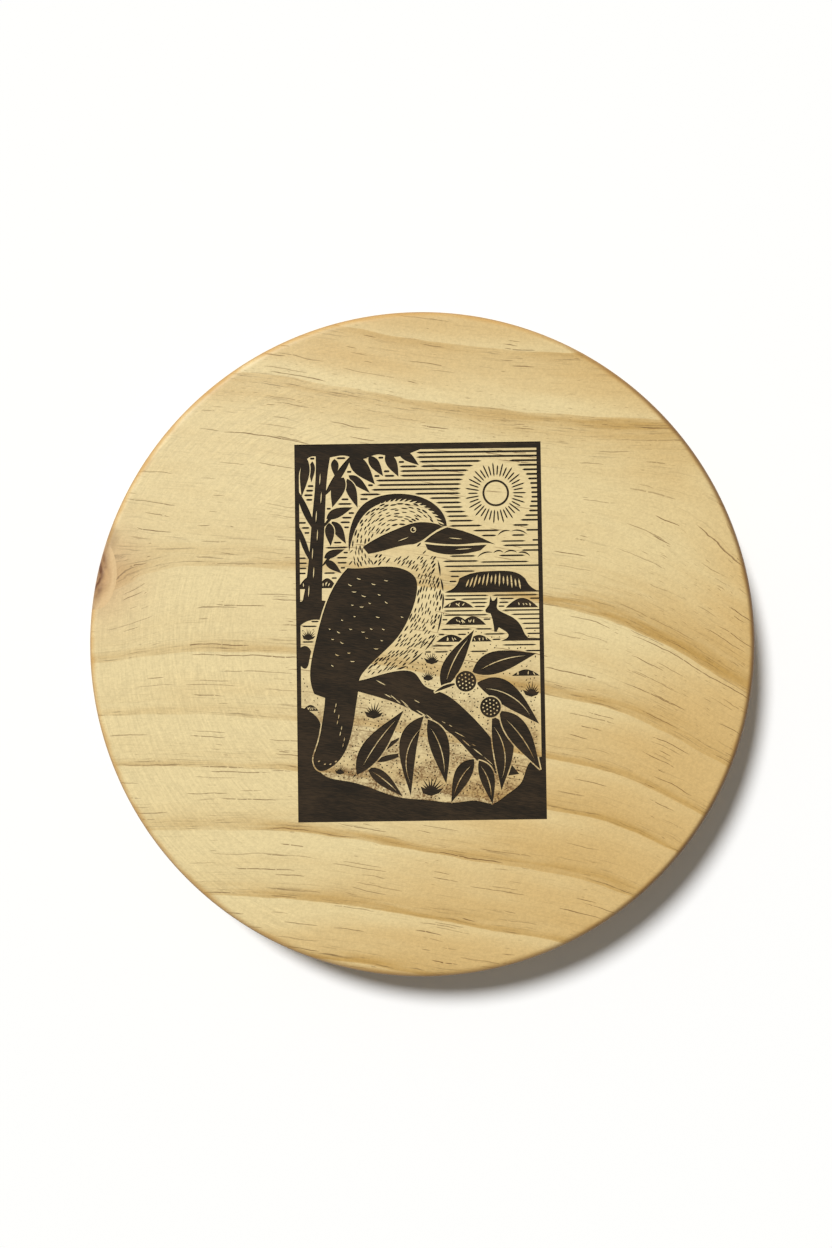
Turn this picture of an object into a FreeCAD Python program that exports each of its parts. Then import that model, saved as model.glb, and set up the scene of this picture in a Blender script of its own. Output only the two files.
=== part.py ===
import FreeCAD, Part
import math
import os
import random

# A round pine board with a woodcut picture burnt into its face by a laser.
# Millimetres, +Z up. The origin is the middle of the underside, on the surface that the board
# lies on; +Y is the top of the picture and +X its right.

# Driving dimensions
board_diameter = 200.0
board_thickness = 18.0
edge_round = 2.5  # hand-sanded round-over, the same on both faces
knot_x, knot_y = -98.0, 20.5  # a tight knot that the rim cuts through
knot_half_width, knot_half_length = 6.5, 11.0
engrave_depth = 0.5  # how far the laser burns down into the wood
char_thickness = 0.25  # burnt skin that stays on the floor of each cut
panel_width, panel_height = 74.0, 113.0
panel_x, panel_y = -0.7, 3.1  # middle of the picture on the board
panel_turn = 0.8  # degrees, the picture was put in slightly turned
frame_side, frame_top = 1.3, 1.9  # burnt frame line round the picture
halo = 0.36  # uncut line left round a shape that lies in front of another
hatch_pitch, hatch_width = 1.38, 0.62  # sky lines
tick_width = 0.36  # a single gouge mark

V = FreeCAD.Vector
half_w, half_h = panel_width / 2, panel_height / 2
left_side, right_side = -half_w + frame_side, half_w - frame_side
top_side = half_h - frame_top


# Flat shapes, in the picture's own frame: x to the right and y up from its middle

def curve(points):
    """A smooth edge through the points, or a straight one between two."""
    points = [V(x, y, 0) for x, y in points]
    if len(points) == 2:
        return Part.LineSegment(*points).toShape()
    line = Part.BSplineCurve()
    line.interpolate(points)
    return line.toShape()


def region(*runs):
    """A face bounded by smooth runs with a corner where each begins; a run ends where the next begins."""
    edges = []
    for run, following in zip(runs, runs[1:] + runs[:1]):
        edges.append(curve(run + [following[0]]))
    return Part.Face(Part.Wire(edges))


def beside(base, tip, share, offset):
    """The point a share of the way from base to tip, set off to the left of that line."""
    dx, dy = tip[0] - base[0], tip[1] - base[1]
    length = math.hypot(dx, dy)
    return base[0] + dx * share - dy / length * offset, base[1] + dy * share + dx / length * offset


def lens(base, tip, left, right):
    """A shape pointed at both ends, bulging left and right of the line from base to tip."""
    there = Part.Arc(V(*base), V(*beside(base, tip, 0.5, left)), V(*tip)).toShape()
    back = Part.Arc(V(*tip), V(*beside(base, tip, 0.5, -right)), V(*base)).toShape()
    return Part.Face(Part.Wire([there, back]))


def leaf(base, tip, left, right):
    """A gum leaf: broad near its base, drawn out to a long tip."""
    up = [base, beside(base, tip, 0.33, left), beside(base, tip, 0.68, left * 0.66)]
    down = [tip, beside(base, tip, 0.68, -right * 0.66), beside(base, tip, 0.33, -right)]
    return region(up, down)


def mark(x, y, length, angle, width=tick_width, bow=0.0, corners=(0.3, 0.7)):
    """One straight-sided gouge mark, centred on a point, at an angle in degrees."""
    dx = math.cos(math.radians(angle)) * length / 2
    dy = math.sin(math.radians(angle)) * length / 2
    start, end = (x - dx, y - dy), (x + dx, y + dy)
    left = [beside(start, end, share, bow + width / 2) for share in corners]
    right = [beside(start, end, share, bow - width / 2) for share in reversed(corners)]
    return Part.Face(Part.makePolygon([V(*point) for point in [start, *left, end, *right, start]]))


def bar(start, end, width, blunt_start=False, blunt_end=False):
    """A straight line of even width, run out to a point at each end that isn't blunt."""
    length = math.hypot(end[0] - start[0], end[1] - start[1])
    taper = min(1.1, length / 6) / length
    near, far = taper * (not blunt_start), 1 - taper * (not blunt_end)
    points = [beside(start, end, near, -width / 2), beside(start, end, far, -width / 2)]
    points += [] if blunt_end else [end]
    points += [beside(start, end, far, width / 2), beside(start, end, near, width / 2)]
    points += [] if blunt_start else [start]
    return Part.Face(Part.makePolygon([V(*point) for point in points + points[:1]]))


def disc(x, y, radius):
    return Part.Face(Part.Wire(Part.makeCircle(radius, V(x, y, 0))))


def grown(face, by=halo):
    """The face with a margin all round, each of its edges redrawn as one plain smooth curve."""
    edges = []
    for edge in face.makeOffset2D(by).OuterWire.OrderedEdges:
        if edge.Length > 0.01:
            points = edge.discretize(Number=max(2, int(edge.Length / 1.6) + 2))
            edges.append(curve([(p.x, p.y) for p in points]))
    return Part.Face(Part.Wire(edges))


def without(faces, others, smallest=0.0):
    """The faces less the others that reach them, dropping crumbs."""
    kept = []
    for face in faces:
        near = [other for other in others if face.BoundBox.intersect(other.BoundBox)]
        kept += face.cut(near).Faces if near else [face]
    return [face for face in kept if face.Area > smallest]


def apart(faces, taken, gap=0.04):
    """The faces that stay clear of what is taken and of each other."""
    kept = []
    for face in faces:
        near = [other for other in taken + kept if face.BoundBox.intersect(other.BoundBox)]
        if all(face.distToShape(other)[0] > gap for other in near):
            kept.append(face)
    return kept


# Where marks may go: outlines as polygons, which only tests use

def outline(face):
    return [(p.x, p.y) for p in face.OuterWire.discretize(Distance=0.4)]


def outlines(faces):
    return [outline(face) for face in faces]


def crossings(polygon, y):
    """Sorted x of each place where a level line crosses the outline."""
    found = []
    for (xa, ya), (xb, yb) in zip(polygon, polygon[1:] + polygon[:1]):
        if (ya > y) != (yb > y):
            found.append(xa + (y - ya) * (xb - xa) / (yb - ya))
    return sorted(found)


def inside(polygon, x, y):
    return sum(cross < x for cross in crossings(polygon, y)) % 2 == 1


def touches(polygons, x, y, gap):
    """Whether a point is in one of the outlines or within the gap of one."""
    around = [(x, y), (x + gap, y), (x - gap, y), (x, y + gap), (x, y - gap)]
    return any(inside(polygon, px, py) for polygon in polygons for px, py in around)


def free_spans(x_start, x_end, y, polygons, gap, shortest):
    """The stretches of a level line that stay clear of all the outlines."""
    spans = [(x_start, x_end)]
    for polygon in polygons:
        for level in (y - gap, y, y + gap):
            found = crossings(polygon, level)
            for low, high in zip(found[::2], found[1::2]):
                cut = []
                for start, end in spans:
                    cut += [(start, min(end, low - gap)), (max(start, high + gap), end)]
                spans = [(start, end) for start, end in cut if end - start > shortest]
    return spans


# The bird

head = region(
    [(-21.4, 19.2), (-20.8, 25.0), (-20.2, 32.0), (-16.2, 38.4), (-10.4, 40.9), (-4.0, 41.2), (2.2, 39.6),
     (6.8, 36.0)],
    [(8.6, 31.0), (14.0, 29.6), (19.0, 27.6)],
    [(23.0, 25.6), (18.5, 23.9), (12.0, 22.8)],
    [(7.0, 23.0), (5.2, 20.4), (6.2, 16.0), (7.0, 11.5), (6.6, 6.0), (5.0, -1.0), (1.0, -6.0), (-4.0, -10.2)],
    [(-7.5, -11.5), (-12.0, -12.5)],
    [(-17.5, -13.5), (-19.0, 0.0)],
)
crown = region(
    [(-20.9, 24.0), (-20.2, 32.0), (-16.2, 38.4), (-10.4, 40.9), (-4.0, 41.2), (2.2, 39.6), (6.8, 36.0)],
    [(8.5, 31.4), (6.4, 31.8)],
    [(5.6, 33.2), (3.2, 36.2), (-0.5, 38.2), (-5.0, 39.0), (-10.5, 38.6), (-15.4, 36.0), (-18.8, 31.0)],
)
eye_stripe = region(
    [(-16.8, 25.4), (-12.0, 28.3), (-6.0, 30.9), (-1.0, 32.5), (3.8, 32.4)],
    [(7.9, 31.2), (4.0, 29.3), (0.6, 26.9)],
    [(-1.6, 26.0), (-7.0, 25.2), (-11.5, 24.0)],
    [(-15.2, 23.3)],
)
upper_bill = region(
    [(1.6, 26.7), (4.6, 29.1)],
    [(8.6, 31.0), (14.0, 29.6), (19.0, 27.6)],
    [(23.0, 25.6), (18.6, 26.2), (13.0, 25.8), (7.0, 26.0)],
)
lower_bill = region(
    [(1.9, 26.1), (7.0, 25.5), (13.0, 25.3)],
    [(20.4, 25.6)],
    [(18.5, 23.9), (12.0, 22.8), (6.4, 23.1)],
    [(2.6, 24.4)],
)
wing = region(
    [(-21.4, 19.2), (-12.0, 19.4), (-4.5, 18.5), (-1.2, 16.0), (-0.8, 11.5), (-2.6, 5.5), (-6.5, -1.5),
     (-12.0, -7.0)],
    [(-17.2, -12.2), (-18.4, -14.5)],
    [(-18.6, -17.2)],
    [(-28.6, -19.6)],
    [(-31.8, -18.4), (-33.0, -12.0), (-31.8, -5.0), (-29.8, 3.0), (-26.5, 12.0)],
)
tail = region(
    [(-28.6, -19.6)],
    [(-18.6, -17.2), (-19.4, -22.0), (-20.6, -29.0), (-23.2, -36.3), (-27.4, -40.5), (-30.6, -41.2),
     (-32.2, -39.0), (-31.2, -34.0), (-29.4, -26.0)],
)
bird = [head, wing, tail]
bird_outlines = outlines(bird)


def crown_nicks():
    """Pale nicks along the inner edge of the dark crown, so that it breaks up into feathers."""
    nicks = []
    for step in range(26):
        turn = math.radians(172 - step * 6.1)
        nicks.append(mark(-5.4 + 14.1 * math.cos(turn), 25.0 + 14.1 * math.sin(turn), 2.6,
                          math.degrees(turn) - 58, 0.42))
    return nicks


def bird_head_faces():
    eye = [disc(-1.6, 30.4, 0.85).cut(disc(-1.6, 30.4, 0.62)), disc(-1.3, 30.6, 0.24)]
    shine = [mark(13.4, 24.4, 5.0, 3, 0.22), mark(-4.6, 27.6, 3.6, 20, 0.22), mark(11.0, 27.6, 4.2, -6, 0.22)]
    return without([crown], crown_nicks(), 0.05) + without([eye_stripe, upper_bill, lower_bill], eye + shine + [grown(crown, 0.15)])


def wing_and_tail_faces():
    """The dark back and tail, with small pale feather edges left in the wood."""
    dice = random.Random(3)
    flecks = []
    for row in range(8):
        for column in range(7):
            x = -28.0 + 3.5 * column + 1.7 * (row % 2) + dice.uniform(-1.1, 1.1)
            y = 15.0 - 3.5 * row + dice.uniform(-1.0, 1.0)
            clear = all(inside(bird_outlines[1], x + dx, y + dy) for dx, dy in ((1.7, 0), (-1.7, 0), (0, 1.3)))
            if clear and dice.random() < 0.8:
                flecks.append(mark(x, y, dice.uniform(0.7, 1.6), dice.uniform(-35, 0), 0.24, -0.16))
    for step in range(9):
        flecks.append(mark(-25.8 + 0.4 * step, -23.5 - 1.7 * step + 3.4 * (step % 2), 1.4, 78, 0.24))
    flecks += [mark(x, -39.4 + 0.15 * (x + 28) ** 2, 0.8, 20, 0.4) for x in (-30.6, -28.9, -27.2, -25.6)]
    return without([wing], flecks), without([tail], flecks)


def feather_faces():
    """Ticks that follow the round of the crown, then the fall of the breast."""
    dice = random.Random(11)
    dark = outlines([crown, eye_stripe, upper_bill, lower_bill, wing])
    ticks = []
    y = -12.0
    while y < 40.0:
        x = -22.0 + dice.uniform(0.0, 0.8)
        while x < 8.0:
            ty = y + dice.uniform(-0.4, 0.4)
            on_crown = ty > 31.0 - 0.06 * (x + 1.0) ** 2 and x > -20
            angle = math.degrees(math.atan2(ty - 25.0, x + 5.5)) - 90
            if not on_crown:
                angle = 42 + 34 * math.exp(-((ty - 10.0) / 9.0) ** 2)
            length = dice.uniform(1.4, 2.5)
            dx, dy = math.cos(math.radians(angle)) * length / 2, math.sin(math.radians(angle)) * length / 2
            ends = [(x - dx, ty - dy), (x, ty), (x + dx, ty + dy)]
            on_cheek = -11.5 < x < 1.2 and 22.2 < ty < 25.6  # left plain
            in_head = all(inside(bird_outlines[0], *end) for end in ends)
            if in_head and not on_cheek and not any(touches(dark, *end, 0.2) for end in ends):
                in_shade = touches(dark, x, ty, 1.5) or not inside(bird_outlines[0], x + 1.8, ty)
                ticks.append(mark(x, ty, length, angle, dice.uniform(0.3, 0.42) + 0.14 * in_shade))
            x += dice.uniform(0.85, 1.4)
        y += 1.16
    breast = [(5.6, 21.4), (6.3, 16.0), (7.1, 11.5), (6.7, 6.0), (5.1, -1.0), (1.1, -6.1), (-4.0, -10.3),
              (-7.4, -11.4)]
    edge = [lens(beside(a, b, 0.04, 0.0), beside(a, b, 0.96, 0.0), 0.42, 0.16) for a, b in zip(breast, breast[1:])]
    return apart(edge + ticks, [crown, eye_stripe, lower_bill, wing])


# The branch and what grows on it: base, tip, and how far each side of a leaf bulges

foliage = [lens((4.0, -18.4), (11.2, -15.8), 0.9, 0.1)] + [leaf(*shape) for shape in (
    ((6.4, -17.4), (16.2, 0.2), 3.4, 1.9),
    ((15.4, -12.6), (34.6, -7.2), 4.2, 2.4),
    ((16.6, -15.8), (35.2, -28.2), 5.6, 1.2),
    ((23.4, -24.2), (35.3, -41.8), 4.2, 2.3),
    ((21.2, -25.8), (23.6, -47.8), 5.4, 0.9),
    ((0.8, -25.4), (-3.4, -49.0), -0.6, 5.9),
    ((2.0, -26.4), (7.2, -45.6), 4.2, 1.7),
    ((15.6, -38.4), (8.6, -51.2), 1.6, 3.3),
    ((17.0, -38.8), (20.9, -51.8), 3.1, 1.3),
    ((-19.4, -42.6), (-5.2, -23.6), 3.9, 2.4),
    ((-15.4, -37.8), (-4.8, -30.8), 0.9, 0.7),
    ((-14.2, -38.8), (-4.0, -36.2), 0.9, 0.8),
    ((-16.2, -40.6), (-5.8, -49.2), 2.3, 1.6),
)] + [lens((-20.8, -43.6), (-14.6, -38.0), 0.6, 0.3)]
midribs = [lens(beside(base, tip, 0.14, 0.1), beside(base, tip, 0.84, lean * 0.3), lean + 0.15, 0.15 - lean)
           for base, tip, lean in (
    ((6.4, -17.4), (16.2, 0.2), 0.8), ((15.4, -12.6), (34.6, -7.2), 0.9), ((16.6, -15.8), (35.2, -28.2), 2.0),
    ((23.4, -24.2), (35.3, -41.8), 0.8), ((21.2, -25.8), (23.6, -47.8), 2.0),
    ((0.8, -25.4), (-3.4, -49.0), -2.8), ((2.0, -26.4), (7.2, -45.6), 1.1), ((15.6, -38.4), (8.6, -51.2), -0.8),
    ((17.0, -38.8), (20.9, -51.8), 0.8), ((-19.4, -42.6), (-5.2, -23.6), 0.6),
    ((-16.2, -40.6), (-5.8, -49.2), 0.3))]
seed_heads = [(13.5, -15.2), (20.7, -23.0)]
seed_radius = 3.1
seed_discs = [disc(x, y, seed_radius) for x, y in seed_heads]
branch = region(
    [(-19.6, -14.7), (-12.0, -12.9), (-7.4, -11.9), (-1.6, -12.7), (1.0, -16.2), (6.0, -18.4), (12.0, -22.6),
     (18.0, -28.8), (23.0, -35.2)],
    [(29.0, -43.0)],
    [(24.6, -43.6), (16.4, -38.8), (9.8, -31.6), (2.4, -26.6), (-6.0, -22.0), (-12.6, -19.6)],
    [(-20.2, -17.4)],
)


def seed_head_faces():
    """Round seed heads with pale grains left in them."""
    grains = []
    for x, y in seed_heads:
        for ring, count in ((0.0, 1), (1.15, 6), (2.2, 12)):
            for step in range(count):
                angle = 2 * math.pi * (step + ring / 2) / count
                grains.append(disc(x + ring * math.cos(angle), y + ring * math.sin(angle), 0.23))
    return without(seed_discs, grains)


def leaf_faces():
    """Leaves with pale midribs; one drawn earlier lies in front of one drawn later."""
    faces, in_front = [], [grown(face) for face in seed_discs]
    for shape in foliage:
        faces += without([shape], midribs + in_front, 0.2)
        in_front.append(grown(shape))
    return faces


def branch_faces(ground):
    """The bough that the bird sits on, with pale scratches along its bark."""
    dice = random.Random(5)
    scratches = []
    for step in range(22):
        x = -12.0 + 1.7 * step + dice.uniform(-0.6, 0.6)
        y = -15.8 - 0.5 * (x + 12.0) - 0.0075 * (x + 12.0) ** 2 + dice.uniform(-2.4, 1.6)
        scratches.append(mark(x, y, dice.uniform(1.2, 4.0), dice.uniform(-44, -28), dice.uniform(0.18, 0.3)))
    in_front = [grown(face) for face in foliage + seed_discs] + bird + ground
    return without([branch], scratches + in_front, 0.3)


# The tree

trunk = region(
    [(-30.6, 53.8), (-31.0, 42.5), (-32.0, 33.0), (-33.2, 20.0)],
    [(-35.0, 9.4)],
    [(-29.2, 9.4), (-28.8, 22.0), (-28.0, 35.0), (-27.4, 45.0)],
    [(-26.0, 53.8)],
)
boughs = [lens(*shape) for shape in (
    ((-28.4, 40.6), (-19.6, 53.4), 0.9, 1.2), ((-30.6, 29.6), (-36.6, 43.4), 1.2, 0.9),
    ((-32.2, 20.6), (-36.6, 33.0), 0.9, 0.8), ((-29.0, 31.0), (-24.6, 36.2), 0.5, 0.4),
    ((-29.2, 19.6), (-25.6, 23.8), 0.4, 0.4))]
tree_leaves = [leaf(*shape) for shape in (
    ((-20.4, 52.6), (-12.9, 44.2), 2.6, 2.1), ((-14.6, 52.8), (-10.4, 46.6), 1.5, 1.4),
    ((-9.6, 53.2), (-5.8, 46.4), 1.9, 1.3), ((-5.8, 53.8), (0.4, 49.8), 1.7, 1.0),
    ((-33.4, 52.6), (-35.0, 40.6), 1.5, 1.3), ((-25.0, 52.0), (-24.8, 46.6), 1.2, 1.1),
    ((-22.2, 46.4), (-25.8, 37.4), 1.6, 2.5), ((-21.2, 46.0), (-18.2, 37.2), 1.5, 1.5),
    ((-20.8, 47.0), (-14.4, 41.6), 1.5, 1.0), ((-27.6, 34.0), (-19.6, 37.4), 1.8, 1.1),
    ((-26.8, 32.8), (-26.4, 25.8), 1.4, 1.4), ((-26.0, 33.2), (-21.8, 26.4), 1.7, 1.2),
    ((-28.4, 22.2), (-22.2, 24.8), 1.4, 0.9), ((-28.2, 21.4), (-23.2, 17.6), 1.3, 1.0),
    ((-31.6, 51.4), (-32.0, 45.0), 0.9, 0.9), ((-17.4, 53.4), (-16.6, 49.6), 0.8, 0.8))]


def tree_faces(ground):
    bark = [mark(-29.4 - 0.62 * k + 0.9 * (k % 2), 46.0 - 5.6 * k, 3.6, 86, 0.24) for k in range(7)]
    return without([trunk], bark + ground, 0.2) + without(boughs, [trunk] + ground, 0.2)


def tree_leaf_faces(ground):
    faces, in_front = [], [trunk] + boughs + ground
    for shape in tree_leaves:
        faces += without([shape], in_front, 0.3)
        in_front.append(grown(shape, 0.26))
    return faces


# The frame, with the ground and the leafy corner that are one dark mass with it

ground_line = [
    (left_side, -22.4), (-33.4, -23.4), (-30.4, -26.4), (-30.4, -33.0), (-31.6, -39.0), (-29.4, -42.4),
    (-22.5, -44.4), (-14.5, -46.8), (-7.0, -49.4), (2.0, -50.4), (10.0, -51.2), (16.5, -50.8),
    (21.0, -51.6), (25.0, -49.2), (29.6, -45.4), (31.6, -40.4)]
canopy_line = [
    (0.8, top_side), (-3.0, 53.2), (-7.5, 52.4), (-12.0, 53.2), (-17.0, 51.8), (-22.0, 53.0), (-28.0, 52.4),
    (-32.0, 52.8), (-34.6, 50.4)]
opening = region(ground_line, [(right_side, -38.0)], [(right_side, top_side)], canopy_line, [(left_side, 47.0)])
sheet = Part.makePlane(panel_width, panel_height, V(-half_w, -half_h, 0))
banks = [  # rough dark banks under the tree and beside the tail
    region([(left_side, 9.2), (-33.0, 9.9), (-28.0, 9.4), (-24.0, 9.0)], [(-27.0, 2.6), (-33.0, 3.6)],
           [(left_side, 2.2)]),
    region([(left_side, -4.4), (-34.4, -4.0)], [(-32.6, -5.6)], [(-33.4, -9.4), (-34.4, -10.8)],
           [(left_side, -10.0)]),
]


def ground_faces():
    in_front = [grown(face) for face in foliage + bird]
    return without(without([sheet], [opening]) + banks, in_front, 0.5)


# Sky and plain

sun_x, sun_y = 23.3, 41.1
sun_radius, sun_line = 3.7, 0.62
ray_start, ray_end, ray_count = 4.9, 9.3, 38
hill = region(
    [(7.8, 11.7), (10.6, 13.0)],
    [(12.0, 15.6), (15.5, 17.0), (23.0, 17.7), (29.5, 16.9)],
    [(31.8, 15.2), (33.2, 13.0)],
    [(35.2, 11.7)],
)
wallaby = region(
    [(21.2, 10.2)],
    [(21.7, 8.8)],
    [(22.3, 8.8)],
    [(23.3, 10.0)],
    [(23.3, 8.0), (23.3, 6.3), (24.6, 5.3), (27.6, 3.8), (30.2, 1.2), (31.4, -1.4)],
    [(32.4, -2.5)],
    [(right_side, -2.6)],
    [(right_side, -3.3)],
    [(24.2, -3.3)],
    [(25.6, -2.7), (26.4, -1.4), (25.2, -0.2)],
    [(23.6, 0.8)],
    [(22.9, -0.6)],
    [(22.2, -0.5), (22.0, 1.6), (21.6, 3.6)],
    [(21.2, 4.9)],
    [(19.8, 5.3)],
    [(19.6, 6.0)],
    [(20.8, 7.6)],
)
bush_sizes = [  # middle of the foot, half width, height
    (11.6, 6.8, 4.6, 2.2), (11.2, 1.8, 3.6, 2.4), (15.8, 1.6, 4.0, 2.6), (30.6, 6.6, 4.9, 2.9),
    (-33.2, 13.0, 3.2, 3.6), (-27.6, 13.2, 3.0, 3.0), (9.2, -3.4, 4.4, 2.2), (17.6, -3.4, 3.8, 2.0),
    (31.4, -13.8, 4.2, 1.9), (-33.0, -23.4, 2.4, 1.8),
]


def sun_faces():
    """A ring and its rays."""
    ring = disc(sun_x, sun_y, sun_radius + sun_line / 2).cut(disc(sun_x, sun_y, sun_radius - sun_line / 2))
    faces = [ring.Faces[0]]
    for step in range(ray_count):
        angle = 2 * math.pi * step / ray_count
        near, far = ray_start + 0.35 * (step % 2), ray_end - 0.8 * (step % 2)
        ends = [(sun_x + r * math.cos(angle), sun_y + r * math.sin(angle)) for r in (near, far)]
        faces.append(bar(*ends, 0.42))
    return faces


clouds = [(17.4, 33.4, 22.0, (0.3, 0.2, 0.26, 0.24)), (23.6, 32.6, 28.2, (0.45, 0.55))]


def cloud_faces():
    """Each cloud is a wavy line of low bumps above a level one."""
    faces = []
    for x_start, x_end, y, bumps in clouds:
        x = x_start
        for number, share in enumerate(bumps):
            across = (x_end - x_start) * share
            rise = 1.1 * math.sin(math.pi * (x + across / 2 - x_start) / (x_end - x_start))
            tilt = 1.4 if number == 0 else -1.0 if number == len(bumps) - 1 else 0.2
            start, end = (x + 0.05, y + rise - tilt / 2), (x + across - 0.05, y + rise + tilt / 2)
            faces.append(lens(start, end, 0.95, -0.5))
            x += across
        faces.append(bar((x_start + 0.8, y - 1.6), (x_end - 0.4, y - 1.6), 0.45))
    return faces


def sky_faces(behind):
    """Level lines, close at the top and broken up lower down."""
    dice = random.Random(9)
    faces = []
    y = top_side - hatch_pitch * 0.72
    while y > 13.2:
        for start, end in free_spans(left_side, right_side, y, behind, halo, 1.1):
            blunt_start, blunt_end = start == left_side, end == right_side
            fade = max(0.0, (47.0 - y) / 34.0)
            right_of_bird = not blunt_start and start > 6
            if not blunt_start and start > -20:
                start += fade * dice.uniform(0.0, 2.4)
            if y < 30 and right_of_bird:
                start += dice.uniform(0.0, 5.0) * fade
            if y < 38 and blunt_end and dice.random() < 0.4:
                end -= dice.uniform(0.5, 4.0)
                blunt_end = False
            if right_of_bird and 19.0 < y < 21.4:
                start += 3.0
            if end - start > 1.3:
                faces.append(bar((start, y), (end, y), hatch_width - 0.16 * fade, blunt_start, blunt_end))
        y -= hatch_pitch * (1.0 if y > 34 else 1.1)
    return faces


def hill_faces():
    """A low flat hill with pale gullies."""
    gullies = [mark(14.4 + 1.2 * k, 15.2 - 0.03 * (k - 6) ** 2, 2.6 + 0.8 * (k % 3), 68 + 2.4 * k, 0.44)
               for k in range(14)]
    return without([hill], gullies) + [bar((7.4, 11.5), (right_side, 11.5), 0.4, False, True)]


def bush_faces(ground):
    dice = random.Random(17)
    faces = []
    in_front = [grown(face) for face in [wallaby] + bird + foliage[:4]] + [trunk] + ground
    for x, y, half, height in bush_sizes:
        reach = min(x + half, right_side)
        mound = region([(x - half, y), (x - half * 0.45, y + height * 0.75), (x, y + height),
                        (x + half * 0.5, y + height * 0.72)], [(reach, y)])
        flecks = [mark(x + dice.uniform(-0.6, 0.6) * half, y + height * dice.uniform(0.3, 0.5),
                       dice.uniform(0.8, 1.3), dice.uniform(40, 140), 0.26) for _ in range(5)]
        faces += without([mound], flecks + in_front + faces, 0.3)
    return faces


def plain_faces(behind):
    """Short level lines across the plain, further apart towards the front."""
    dice = random.Random(23)
    faces = []
    y = 10.4
    while y > -7.0:
        for start, end in free_spans(left_side + halo, right_side, y, behind, halo, 1.6):
            length = min(end - start, dice.uniform(5.0, 15.0))
            begin = start + dice.uniform(0.0, end - start - length)
            blunt = end == right_side and begin + length > end - 0.01
            faces.append(bar((begin, y), (begin + length, y), 0.44, False, blunt))
        y -= 1.05 + 0.05 * (10.4 - y)
    return faces


# Grass and specks

tufts = [  # root, height of the blades
    (-14.2, -25.2, 5.0), (-9.4, -29.6, 3.4), (-3.4, -30.4, 4.6), (2.6, -48.2, 7.0), (11.8, -40.6, 4.6),
    (3.4, -9.4, 3.8), (2.2, -14.4, 3.2), (14.4, -10.4, 4.4), (33.0, -19.4, 4.4), (24.6, -47.2, 4.0),
    (-33.4, -1.8, 3.6), (-33.8, -15.8, 3.6), (-20.0, -42.6, 4.6), (-24.4, -42.0, 4.0), (-17.9, -36.4, 6.0),
    (9.4, -33.8, 3.4), (-33.8, -20.8, 3.2), (-12.4, -45.4, 3.4), (17.4, -46.0, 3.4),
]


def fan(x, y, height, dice):
    """The outline of one tuft: blade tips with valleys between them, over a dark root."""
    points = [(x - 0.4 * height, y - 0.03 * height), (x, y - 0.16 * height), (x + 0.4 * height, y - 0.03 * height)]
    for step in range(9):
        turn = math.radians(20 + 16.2 * step + dice.uniform(-3, 3))
        tip = height * (1.0 - 0.08 * abs(step - 4)) * dice.uniform(0.75, 1.1)
        points.append((x + tip * math.cos(turn), y + tip * math.sin(turn)))
        if step < 8:
            valley = math.radians(28 + 16.2 * step)
            points.append((x + 0.34 * height * math.cos(valley), y + 0.34 * height * math.sin(valley)))
    return points


def grass_faces(behind, taken):
    """Tufts of grass, each as tall as the room it has."""
    dice = random.Random(29)
    fans = []
    for x, y, height in tufts:
        for share in (1.0, 0.85, 0.7, 0.55):
            points = fan(x, y, height * share, dice)
            if not any(touches(behind, px, py, halo) for px, py in points):
                fans.append(Part.Face(Part.makePolygon([V(*point) for point in points + points[:1]])))
                break
    return apart(fans, taken)


def speck_faces(used, shapes, taken):
    """Specks, crowded round the plants and sparse in the open."""
    dice = random.Random(31)
    field = outline(opening)
    faces = []
    for row in range(44):
        for column in range(54):
            x = left_side + 0.8 + 1.3 * column + dice.uniform(-0.45, 0.45)
            y = 6.0 - 1.3 * row + dice.uniform(-0.45, 0.45)
            near = touches(shapes, x, y, 1.7)
            if dice.random() > (0.95 if near else 0.45):
                continue
            if inside(field, x, y) and inside(field, x, y - 0.6) and not touches(used, x, y, 0.5):
                width = dice.uniform(0.28, 0.4) + 0.08 * near
                faces.append(mark(x, y, dice.uniform(0.45, 0.85), dice.uniform(0, 180), width, 0.0, (0.5,)))
    return apart(faces, taken)


def picture():
    """Every burnt area: {node name: faces}, none of which overlaps another."""
    ground = ground_faces()
    faces = {
        "char_frame": ground,
        "char_seed_heads": seed_head_faces(),
        "char_leaves": leaf_faces(),
        "char_branch": branch_faces(ground),
        "char_tree": tree_faces(ground),
        "char_tree_leaves": tree_leaf_faces(ground),
        "char_sun": sun_faces(),
        "char_clouds": cloud_faces(),
        "char_hill": hill_faces(),
        "char_wallaby": [wallaby],
        "char_bushes": bush_faces(ground),
        "char_bird_head": bird_head_faces(),
        "char_feathers": feather_faces(),
    }
    faces["char_bird_wing"], faces["char_bird_tail"] = wing_and_tail_faces()
    front = bird_outlines + outlines(foliage + [disc(x, y, seed_radius) for x, y in seed_heads] + [branch])
    tree = outlines([trunk] + boughs + tree_leaves)
    corner = outline(region(canopy_line[:0:-1], canopy_line[:1], [(0.8, half_h)], [(-half_w, half_h)],
                            [(-half_w, 47.0)], [(left_side, 47.0)]))
    low = outlines([hill, wallaby] + faces["char_bushes"] + banks)
    sun = [outline(disc(sun_x, sun_y, ray_end + 0.8))]
    clouds = outlines(faces["char_clouds"])
    faces["char_sky"] = sky_faces(front + tree + [corner] + sun + clouds + low)
    earth = outline(region(ground_line, [(right_side, -38.0)], [(half_w, -half_h)], [(-half_w, -half_h)]))
    taken = [face for group in faces.values() for face in group]
    faces["char_grass"] = grass_faces(front + low + [earth], taken)
    grass = outlines(faces["char_grass"])
    faces["char_plain"] = plain_faces(front + low + grass + tree[:1])
    used = front + low + grass + outlines(faces["char_plain"]) + tree[:1]
    taken += faces["char_grass"] + faces["char_plain"]
    faces["char_specks"] = speck_faces(used, front[3:] + grass, taken)
    return faces


# Solids

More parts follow.
